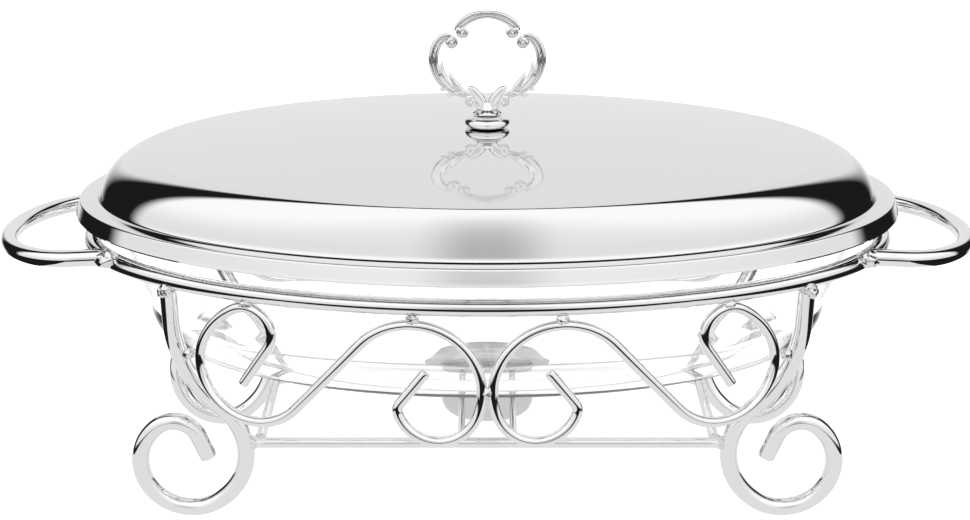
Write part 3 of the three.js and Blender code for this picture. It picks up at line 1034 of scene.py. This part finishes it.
@dataclass
class CastKnob:
    """The plated knob: domed collar, screw and washer, and the cast openwork loop."""

    collar_r: float = 10.0
    bore_r: float = 2.3
    flatness: float = 0.8
    fine: float = 0.25

    def build(self, plate: bpy.types.Material, steel: bpy.types.Material) -> None:
        """Make and dress the collar, the loop and the fasteners."""
        finish_piece(self.make_collar(), plate, Body.LID, ["knob_collar"])
        finish_piece(self.make_loop(), plate, Body.LID, ["knob_loop"])
        finish_piece(self.make_washer(), steel, Body.LID, ["knob_washer"])
        finish_piece(self.make_screw(), steel, Body.LID, ["knob_screw"])

    def make_collar(self) -> bpy.types.Object:
        """Turn the domed collar under the loop."""
        low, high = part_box("knob_collar")
        base, top = low[2] / MM, high[2] / MM
        turning = OvalTurning("knob_collar_dome", segments=72)
        profile = [(self.bore_r, base), (7.6, base), (8.8, base + 0.35), (9.6, base + 1.0),
                   (9.9, base + 1.8)]
        waist = base + 1.9
        for angle in arc_steps(16, 88):
            profile.append((5.4 + 4.5 * math.cos(angle), waist + (top - waist) * math.sin(angle)))
        profile += [(5.2, top), (self.bore_r, top)]
        turning.round_rings(profile)
        piece = turning.raise_wall(closed=True, caps=False)
        smooth(piece, 50)
        return piece

    def make_washer(self) -> bpy.types.Object:
        """Punch the washer inside the lid."""
        low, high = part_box("knob_washer")
        turning = OvalTurning("lid_washer", segments=48)
        base, top = low[2] / MM, high[2] / MM
        turning.round_rings([(2.4, base), (6.0, base), (6.0, top), (2.4, top)])
        piece = turning.raise_wall(closed=True, caps=False)
        apply_modifier(piece, "BEVEL", width=0.15 * MM, segments=2, limit_method="ANGLE")
        smooth(piece)
        return piece

    def make_screw(self) -> bpy.types.Object:
        """Turn the knob screw, with a cross recess in its head."""
        low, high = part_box("knob_screw")
        base, top = low[2] / MM, high[2] / MM
        turning = OvalTurning("lid_screw", segments=48)
        turning.round_rings([(0.6, base), (2.6, base), (3.4, base + 0.4), (3.8, base + 1.1),
                             (3.8, base + 2.2), (2.0, base + 2.2), (2.0, top - 0.5), (1.5, top),
                             (0.4, top)])
        piece = turning.raise_wall()
        cutters = []
        for length, width in ((3.6, 0.8), (0.8, 3.6)):
            deselect_everything()
            bpy.ops.mesh.primitive_cube_add(size=MM, location=(0, 0, base * MM))
            cutter = bpy.context.active_object
            bpy.ops.object.mode_set(mode="EDIT")
            bpy.ops.transform.resize(value=(length, width, 2.4))
            bpy.ops.object.mode_set(mode="OBJECT")
            cutters.append(cutter)
        for cutter in cutters:
            apply_modifier(piece, "BOOLEAN", operation="DIFFERENCE", object=cutter, solver="EXACT")
            bpy.data.objects.remove(cutter)
        smooth(piece, 30)
        return piece

    def stroke(self, points: Sequence[Pair], radii: Sequence[float],
               mirrored: bool) -> bpy.types.Object:
        """Draw one tapering stroke of the casting in the XZ plane.

        Args:
            points: Its centreline (x, z) in millimetres.
            radii: Its radius at each point.
            mirrored: True for the copy on the other side.

        Returns:
            The mesh of the stroke.
        """
        sign = -1 if mirrored else 1
        return spline("stroke", [(sign * x, 0.0, z) for x, z in points], radii, sides=3)

    def grooved(self, points: Sequence[Pair], radii: Sequence[float],
                mirrored: bool) -> list[bpy.types.Object]:
        """Draw a stroke as two ropes side by side, which leaves a groove along its face.

        Args:
            points: Its centreline (x, z) in millimetres.
            radii: Half its width at each point.
            mirrored: True for the copy on the other side.

        Returns:
            The two meshes of the stroke.
        """
        ropes = []
        for way in (-1, 1):
            line = []
            for i, (x, z) in enumerate(points):
                before, after = points[max(i - 1, 0)], points[min(i + 1, len(points) - 1)]
                along = Vector((after[0] - before[0], after[1] - before[1])).normalized()
                shift = way * 0.44 * radii[i]
                line.append((x - along.y * shift, z + along.x * shift))
            ropes.append(self.stroke(line, [0.62 * radius for radius in radii], mirrored))
        return ropes

    def volute(self, centre: Pair, radius: float, begin: float, turn: float,
               mirrored: bool) -> list[bpy.types.Object]:
        """Draw a curled end: a disc with a raised spiral on both faces that winds in to its eye.

        Args:
            centre: The eye (x, z) in millimetres.
            radius: The radius of the outermost turn's centreline.
            begin: The angle where the curl starts, in degrees.
            turn: How far it winds, in degrees, left positive.
            mirrored: True for the copy on the other side.

        Returns:
            The disc and its two spirals.
        """
        sign = -1 if mirrored else 1
        deselect_everything()
        middle = Vector((sign * centre[0], 0.0, centre[1])) * MM
        bpy.ops.mesh.primitive_cylinder_add(vertices=48, radius=(radius + 0.3) * MM, depth=1.5 * MM,
                                            location=middle, rotation=(math.pi / 2, 0, 0))
        parts = [bpy.context.active_object]
        count = 40
        for face in Face:
            points, radii = [], []
            for i in range(count + 1):
                share = i / count
                angle = math.radians(begin + turn * share)
                reach = radius * (1 - 0.9 * share)
                points.append((sign * (centre[0] + reach * math.cos(angle)), face.value * 0.85,
                               centre[1] + reach * math.sin(angle)))
                radii.append(0.62 - 0.12 * share)
            parts.append(spline("curl", points, radii, sides=3))
        return parts

    def loop_parts(self) -> list[bpy.types.Object]:
        """All strokes, curls and leaves of the loop."""
        parts = []
        arch = [(-13.3, 200.6), (-12.7, 202.2), (-10.9, 204.0), (-8.0, 205.9), (-4.2, 207.3),
                (0, 207.8), (4.2, 207.3), (8.0, 205.9), (10.9, 204.0), (12.7, 202.2), (13.3, 200.6)]
        parts += self.grooved(arch, [1.0, 1.5, 1.9, 2.0, 1.85, 1.7, 1.85, 2.0, 1.9, 1.5, 1.0], False)
        for mirrored in (False, True):
            parts += self.volute((-10.7, 200.1), 2.4, 140, 640, mirrored)
            parts += self.volute((-15.4, 195.6), 2.4, 80, -640, mirrored)
            parts += self.volute((-7.35, 169.6), 1.95, 70, 560, mirrored)
            sweep = [(-15.4, 198.2), (-18.4, 197.9), (-21.2, 195.6), (-22.9, 192.0), (-23.4, 188.0),
                     (-22.8, 184.0), (-21.3, 180.2), (-18.6, 177.0), (-15.0, 174.8), (-11.2, 173.4),
                     (-7.8, 172.0), (-4.8, 169.6), (-2.5, 166.4), (-2.0, 164.9)]
            widths = [1.1, 1.7, 2.0, 2.1, 2.05, 1.9, 1.75, 1.75, 1.8, 1.7, 1.55, 1.5, 1.6, 1.7]
            parts += self.grooved(sweep, widths, mirrored)
            leaves = [
                ([(-12.6, 173.6), (-16.6, 177.4), (-19.3, 181.4), (-19.9, 184.6), (-19.3, 187.6)],
                 [1.2, 1.65, 1.55, 1.1, 0.3]),
                ([(-10.6, 173.4), (-13.4, 176.8), (-15.4, 179.8), (-16.5, 182.8)],
                 [1.2, 1.45, 1.15, 0.3]),
                ([(-14.4, 176.6), (-17.6, 176.2), (-19.6, 175.0), (-21.0, 175.2)],
                 [1.3, 1.25, 0.95, 0.35]),
                ([(-11.4, 174.4), (-14.2, 173.8), (-16.2, 172.6), (-17.7, 172.3)],
                 [1.3, 1.25, 0.95, 0.35]),
                ([(-0.6, 166.4), (-2.2, 169.8), (-4.4, 172.8), (-6.6, 175.0), (-8.4, 175.9)],
                 [1.9, 1.8, 1.85, 1.6, 0.9]),
            ]
            for points, radii in leaves:
                parts.append(self.stroke(points, radii, mirrored))
        return parts

    def make_stem(self) -> bpy.types.Object:
        """Turn the leafy foot of the casting, with six shallow lobes."""
        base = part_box("knob_loop")[0][2] / MM
        turning = OvalTurning("knob_stem", segments=48)
        profile = [(0.5, 0), (5.2, 0), (5.8, 0.3), (5.7, 0.8), (5.0, 1.5), (4.0, 2.3), (3.2, 3.3),
                   (2.7, 4.6), (2.2, 5.6), (0.5, 6.0)]
        turning.round_rings((radius, base + z) for radius, z in profile)
        piece = turning.raise_wall()
        lobes = 6
        for vertex in piece.data.vertices:
            angle = math.atan2(vertex.co.y, vertex.co.x)
            lobe = 1 + 0.09 * math.cos(lobes * angle)
            vertex.co.x *= lobe
            vertex.co.y *= lobe
        return piece

    def make_loop(self) -> bpy.types.Object:
        """Fuse stem, strokes, curls and leaves into one casting, flatter than it is wide."""
        work = join("knob_strokes", self.loop_parts())
        settle(work)
        for vertex in work.data.vertices:
            vertex.co.y *= self.flatness
        piece = join("knob_casting", [self.make_stem(), work])
        settle(piece)
        apply_modifier(piece, "REMESH", mode="VOXEL", voxel_size=self.fine * MM, adaptivity=0.0)
        apply_modifier(piece, "SMOOTH", factor=0.5, iterations=3)
        clean_mesh(piece)
        smooth(piece, 180)
        return piece


# ---------------------------------------------------------------------------------------------
# Burner and candle
# ---------------------------------------------------------------------------------------------


@dataclass
class Burner:
    """The pressed burner cup and the tealight in it."""

    rim_r: float = 28.0
    bowl_r: float = 20.4
    foot_r: float = 15.0
    wall: float = 0.7
    pleats: int = 48

    def build(self, steel: bpy.types.Material, foil: bpy.types.Material, wax: bpy.types.Material,
              cotton: bpy.types.Material) -> None:
        """Make and dress the cup, the candle case, the wax and the wick."""
        finish_piece(self.make_cup(), steel, Body.BURNER, ["burner_bowl"])
        finish_piece(self.make_case(), foil, Body.TEALIGHT, ["tealight_case"])
        finish_piece(self.make_wax(), wax, Body.TEALIGHT, ["tealight_wax"])
        finish_piece(self.make_wick(), cotton, Body.TEALIGHT, ["tealight_wick"])

    def make_cup(self) -> bpy.types.Object:
        """Spin the cup: rounded floor, straight bowl and a flared rim with a rolled edge."""
        low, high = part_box("burner_bowl")
        floor, rim = low[2] / MM, high[2] / MM
        turning = OvalTurning("burner_cup", segments=96)
        inner_r = self.bowl_r - self.wall
        outside = [(0.4, floor), (self.foot_r, floor), (17.4, floor + 0.8), (19.2, floor + 2.4),
                   (20.2, floor + 4.6), (self.bowl_r, floor + 6.5), (self.bowl_r, rim - 3.2),
                   (20.9, rim - 2.3), (22.2, rim - 1.8), (27.2, rim - 1.1), (27.9, rim - 0.8),
                   (28.0, rim - 0.4), (27.6, rim)]
        inside = [(27.2, rim - 0.1), (22.0, rim - 1.0), (20.4, rim - 1.7), (inner_r, rim - 2.8),
                  (inner_r, floor + 6.6), (19.4, floor + 4.9), (18.5, floor + 2.9),
                  (17.0, floor + 1.5), (14.7, floor + self.wall), (0.4, floor + self.wall)]
        turning.round_rings(outside + inside)
        piece = turning.raise_wall()
        smooth(piece, 60)
        return piece

    def make_case(self) -> bpy.types.Object:
        """Press the thin candle case with its fine upright pleats."""
        low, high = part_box("tealight_case")
        floor, rim, radius = low[2] / MM, high[2] / MM, high[0] / MM
        turning = OvalTurning("candle_case", segments=self.pleats * 4)
        profile = [(0.4, floor), (radius - 1.4, floor), (radius - 0.5, floor + 0.4),
                   (radius - 0.25, floor + 1.2), (radius - 0.25, rim - 0.7), (radius, rim - 0.3),
                   (radius - 0.2, rim), (radius - 0.5, rim - 0.2), (radius - 0.55, floor + 1.3),
                   (radius - 1.5, floor + 0.45), (0.4, floor + 0.45)]
        turning.round_rings(profile)
        piece = turning.raise_wall()
        for vertex in piece.data.vertices:
            if vertex.co.z < (rim - 0.75) * MM and vertex.co.xy.length > (radius - 0.6) * MM:
                angle = math.atan2(vertex.co.y, vertex.co.x)
                pleat = 1 - 0.006 * (1 + math.cos(self.pleats * angle)) / 2
                vertex.co.x *= pleat
                vertex.co.y *= pleat
        smooth(piece, 50)
        return piece

    def make_wax(self) -> bpy.types.Object:
        """Pour the wax, sunk a little round the wick."""
        low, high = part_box("tealight_wax")
        floor, top, radius = low[2] / MM, high[2] / MM, high[0] / MM
        turning = OvalTurning("candle_wax", segments=72)
        profile = [(1.1, floor), (radius - 1.6, floor), (radius, floor + 1.6), (radius, top - 0.1),
                   (radius - 0.3, top), (radius - 1.5, top - 0.25), (8.0, top - 0.4),
                   (3.0, top - 0.55), (1.6, top - 0.3), (1.1, top - 0.2)]
        turning.round_rings(profile)
        piece = turning.raise_wall(closed=True, caps=False)
        smooth(piece, 60)
        return piece

    def make_wick(self) -> bpy.types.Object:
        """Stand the wick, bent a little at its tip."""
        low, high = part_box("tealight_wick")
        floor, top = low[2] / MM, high[2] / MM
        points = [(0, 0, floor), (0, 0, floor + 6), (0.05, 0, top - 3), (0.25, 0.1, top - 1.2),
                  (0.5, 0.2, top)]
        piece = spline("candle_wick", points, [0.75, 0.75, 0.75, 0.7, 0.55], sides=3)
        smooth(piece)
        return piece


# ---------------------------------------------------------------------------------------------
# Studio
# ---------------------------------------------------------------------------------------------


@dataclass
class Surroundings:
    """What the bright metal mirrors: a white tent in front, a grey panel behind, dark gaps."""

    tent_shade: float = 1.15
    tent_reach: Pair = (-0.3, 0.58)
    tent_dusk: Pair = (0.08, 0.5)
    tent_low: float = 0.78
    tent_foot: Pair = (-0.22, -0.1)
    panel_shade: float = 0.86
    panel_reach: Pair = (0.28, 0.6)
    panel_foot: Pair = (-0.4, -0.3)
    edge: float = 0.09
    figure_width: Pair = (0.3, 0.04)
    figure_height: Pair = (0.62, 0.05)
    figure_near: Pair = (-0.1, -0.3)
    figure_depth: float = 0.4
    through: Pair = (0.8, 0.9)
    darkest: float = 0.012

    def build(self) -> None:
        """Paint the surroundings by direction; what is seen directly is white."""
        world = bpy.data.worlds.new("studio")
        bpy.context.scene.world = world
        world.use_nodes = True
        world.node_tree.nodes.clear()
        wiring = Wiring(world.node_tree)
        split = wiring.node("SeparateXYZ", {"Vector": wiring.node("TexCoord").outputs["Generated"]})
        place = split.outputs["X"], split.outputs["Y"], split.outputs["Z"]
        light = wiring.math("MAXIMUM", self.tent(wiring, *place), self.panel(wiring, *place))
        light = wiring.math("MAXIMUM", light, self.darkest)
        rays = wiring.node("LightPath").outputs
        beyond = wiring.fade(place[1], self.through)
        ahead = wiring.math("MULTIPLY", beyond, rays["Is Transmission Ray"])
        direct = wiring.math("MAXIMUM", rays["Is Camera Ray"], ahead)
        light = wiring.math("MAXIMUM", light, direct)
        background = wiring.node("Background", {"Color": light})
        wiring.node("OutputWorld", {"Surface": background.outputs[0]})

    def aside(self, wiring: Wiring, x: bpy.types.NodeSocket,
              z: bpy.types.NodeSocket) -> bpy.types.NodeSocket:
        """How far to the side a direction points, 0 straight up to 1 level."""
        squares = wiring.math("ADD", wiring.math("MULTIPLY", x, x), wiring.math("MULTIPLY", z, z))
        length = wiring.math("SQRT", wiring.math("MAXIMUM", squares, 1e-6))
        return wiring.math("DIVIDE", wiring.math("ABSOLUTE", x), length)

    def tent(self, wiring: Wiring, x: bpy.types.NodeSocket, y: bpy.types.NodeSocket,
             z: bpy.types.NodeSocket) -> bpy.types.NodeSocket:
        """The white tent in front, dimmer near its foot and where the operator stands.

        Args:
            wiring: The wiring of the world's tree.
            x: The direction's part to the right.
            y: Its part away from the viewer.
            z: Its part upward.

        Returns:
            The tent's light.
        """
        near, widening = self.tent_reach
        limit = wiring.math("MULTIPLY_ADD", self.aside(wiring, x, z), widening, near)
        cloth = wiring.fade(wiring.math("SUBTRACT", y, limit), (self.edge, -self.edge))
        cloth = wiring.math("MULTIPLY", cloth, wiring.fade(z, self.tent_foot))
        figure = wiring.math("MULTIPLY", wiring.fade(wiring.math("ABSOLUTE", x), self.figure_width),
                             wiring.fade(z, self.figure_height))
        figure = wiring.math("MULTIPLY", figure, wiring.fade(y, self.figure_near))
        kept = wiring.math("MULTIPLY_ADD", figure, -self.figure_depth, 1.0)
        shade = wiring.math("MULTIPLY_ADD", wiring.fade(z, self.tent_dusk),
                            self.tent_shade * (1 - self.tent_low), self.tent_shade * self.tent_low)
        return wiring.math("MULTIPLY", wiring.math("MULTIPLY", cloth, kept), shade)

    def panel(self, wiring: Wiring, x: bpy.types.NodeSocket, y: bpy.types.NodeSocket,
              z: bpy.types.NodeSocket) -> bpy.types.NodeSocket:
        """The grey panel behind and overhead.

        Args:
            wiring: The wiring of the world's tree.
            x: The direction's part to the right.
            y: Its part away from the viewer.
            z: Its part upward.

        Returns:
            The panel's light.
        """
        near, widening = self.panel_reach
        aside = self.aside(wiring, x, z)
        limit = wiring.math("MULTIPLY_ADD", wiring.math("MULTIPLY", aside, aside), widening, near)
        cloth = wiring.fade(wiring.math("SUBTRACT", y, limit), (-self.edge, self.edge))
        cloth = wiring.math("MULTIPLY", cloth, wiring.fade(z, self.panel_foot))
        return wiring.math("MULTIPLY", cloth, self.panel_shade)


@dataclass
class Studio:
    """A pale floor, soft light and the camera."""

    eye: Point = (-0.001, -1.0, 0.381)
    pitch: float = 0.276
    lens: float = 86.9
    floor_size: Pair = (12.0, 12.0)
    floor_grey: float = 0.9
    floor_glow: float = 0.66
    table_size: Pair = (0.48, 0.65)
    table_y: float = 0.07
    table_glow: float = 0.84
    light_place: Point = (0, -0.3, 2.2)
    light_size: float = 3.0
    light_power: float = 26.0

    def build(self) -> None:
        """Set up floor, light, surroundings and camera."""
        self.make_camera()
        self.make_floor()
        self.make_table()
        self.make_light()
        Surroundings().build()
        bpy.context.scene.view_settings.view_transform = "Standard"

    def make_camera(self) -> None:
        """Place the camera in front, a little above the lid, looking slightly down."""
        deselect_everything()
        bpy.ops.object.camera_add(location=self.eye, rotation=(math.pi / 2 - self.pitch, 0, 0))
        camera = bpy.context.active_object
        camera.data.lens = self.lens
        camera.data.sensor_width = 36.0
        camera.data.clip_end = 50.0
        bpy.context.scene.camera = camera

    def glowing_plane(self, name: str, place: Point, size: Pair, grey: float,
                      glow: float) -> bpy.types.Object:
        """Lay a level plane that glows evenly and hides nothing from the frame.

        Args:
            name: The name of the plane and of its material.
            place: Its centre, in metres.
            size: Its length and width, in metres.
            grey: The brightness of its own colour.
            glow: The strength of its light.

        Returns:
            The plane, staged.
        """
        deselect_everything()
        bpy.ops.mesh.primitive_plane_add(size=1.0, location=place)
        plane = bpy.context.active_object
        bpy.ops.object.mode_set(mode="EDIT")
        bpy.ops.transform.resize(value=(*size, 1.0))
        bpy.ops.object.mode_set(mode="OBJECT")
        plane.name = name
        material, shader = new_material(name)
        shader.inputs["Base Color"].default_value = (grey, grey, grey, 1.0)
        shader.inputs["Roughness"].default_value = 0.7
        shader.inputs["Specular IOR Level"].default_value = 0.0
        shader.inputs["Emission Color"].default_value = (1.0, 1.0, 1.0, 1.0)
        shader.inputs["Emission Strength"].default_value = glow
        plane.data.materials.append(material)
        return plane

    def make_floor(self) -> None:
        """Lay a large pale floor that the mirrored metal does not see."""
        floor = self.glowing_plane("pale_floor", (0, 0, -0.0001), self.floor_size, self.floor_grey,
                                   self.floor_glow)
        floor.visible_glossy = False

    def make_table(self) -> None:
        """Lay the small bright table top that only the mirrored metal sees."""
        table = self.glowing_plane("mirrored_table", (0, self.table_y, 0.00005), self.table_size,
                                   0.0, self.table_glow)
        for path in ("camera", "diffuse", "transmission", "shadow", "volume_scatter"):
            setattr(table, f"visible_{path}", False)

    def make_light(self) -> None:
        """Hang a large soft light overhead that only lifts the floor."""
        deselect_everything()
        bpy.ops.object.light_add(type="AREA", location=self.light_place)
        light = bpy.context.active_object
        light.data.size = self.light_size
        light.data.energy = self.light_power
        light.visible_glossy = False


def main() -> None:
    """Build the studio and every sub-assembly in turn."""
    logging.basicConfig(level=logging.INFO, format="%(name)s: %(message)s")
    Studio().build()
    plate = BrightPlate("stand_plate").material()
    bead = BrightPlate("bead_plate", (0.8, 0.8, 0.81), dullest=0.22, brightest=0.1, bump=0.4)
    WireStand().build(plate, bead.material())
    RoastingDish().build(ClearGlass("dish_glass").material())
    DomedLid().build(PolishedSheet("lid_sheet").material())
    cast = BrightPlate("knob_plate", (0.84, 0.84, 0.845), dullest=0.2, brightest=0.12, bump=0.12)
    screw_steel = BrightPlate("screw_steel", (0.7, 0.7, 0.71), dullest=0.35, brightest=0.2)
    CastKnob().build(cast.material(), screw_steel.material())
    cup = PolishedSheet("cup_steel", (0.7, 0.7, 0.71), dullest=0.4, brightest=0.25, squeeze=1.0)
    foil = BrightPlate("candle_foil", (0.8, 0.8, 0.81), dullest=0.35, brightest=0.2, bump=0.3)
    Burner().build(cup.material(), foil.material(), CandleWax("candle_wax").material(),
                   CottonWick("candle_cotton").material())


if __name__ == "__main__":
    main()
